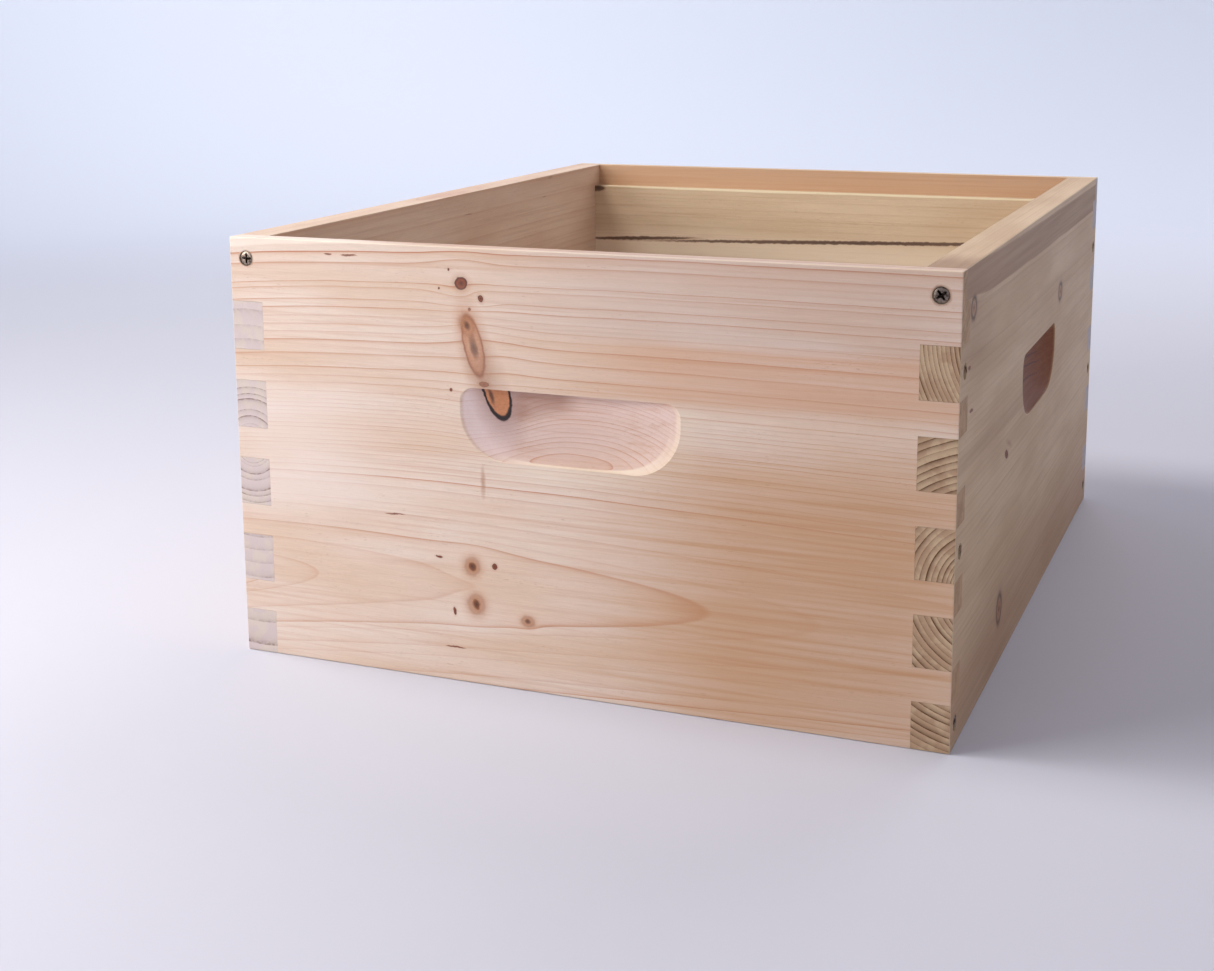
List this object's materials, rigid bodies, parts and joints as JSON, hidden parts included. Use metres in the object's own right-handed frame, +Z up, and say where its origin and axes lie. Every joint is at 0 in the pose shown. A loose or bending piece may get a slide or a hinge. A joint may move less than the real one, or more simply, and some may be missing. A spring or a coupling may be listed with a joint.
{
  "type": "beehive body",
  "caption": "Open wooden hive box with finger-jointed and screwed corners, ledges inside for hanging frames, and a scooped handhold in each wall.",
  "frame": {"origin": "middle of the footprint, at the height of the bottom rim", "axes": "+X along the end boards, to the right seen from the front; +Y from the front board to the back board; +Z up"},
  "size_m": [0.413, 0.505, 0.244],
  "materials": {
    "front_board_pine": "planed bare pine, pale pink with orange growth lines",
    "back_board_pine": "planed bare pine, warm tan",
    "left_board_pine": "planed bare pine, pale",
    "right_board_pine": "planed bare pine with a darker band of heartwood under the rim",
    "screw_zinc": "zinc-plated steel"
  },
  "bodies": {
    "root": {"front_board": "front_board_pine", "back_board": "back_board_pine", "left_board": "left_board_pine", "right_board": "right_board_pine", "screw_front_left_top": "screw_zinc", "screw_front_right_top": "screw_zinc", "screw_back_left_top": "screw_zinc", "screw_back_right_top": "screw_zinc", "screw_left_front_low": "screw_zinc", "screw_left_front_middle": "screw_zinc", "screw_left_front_high": "screw_zinc", "screw_left_back_low": "screw_zinc", "screw_left_back_middle": "screw_zinc", "screw_left_back_high": "screw_zinc", "screw_right_front_low": "screw_zinc", "screw_right_front_middle": "screw_zinc", "screw_right_front_high": "screw_zinc", "screw_right_back_low": "screw_zinc", "screw_right_back_middle": "screw_zinc", "screw_right_back_high": "screw_zinc"}
  },
  "joints": []
}
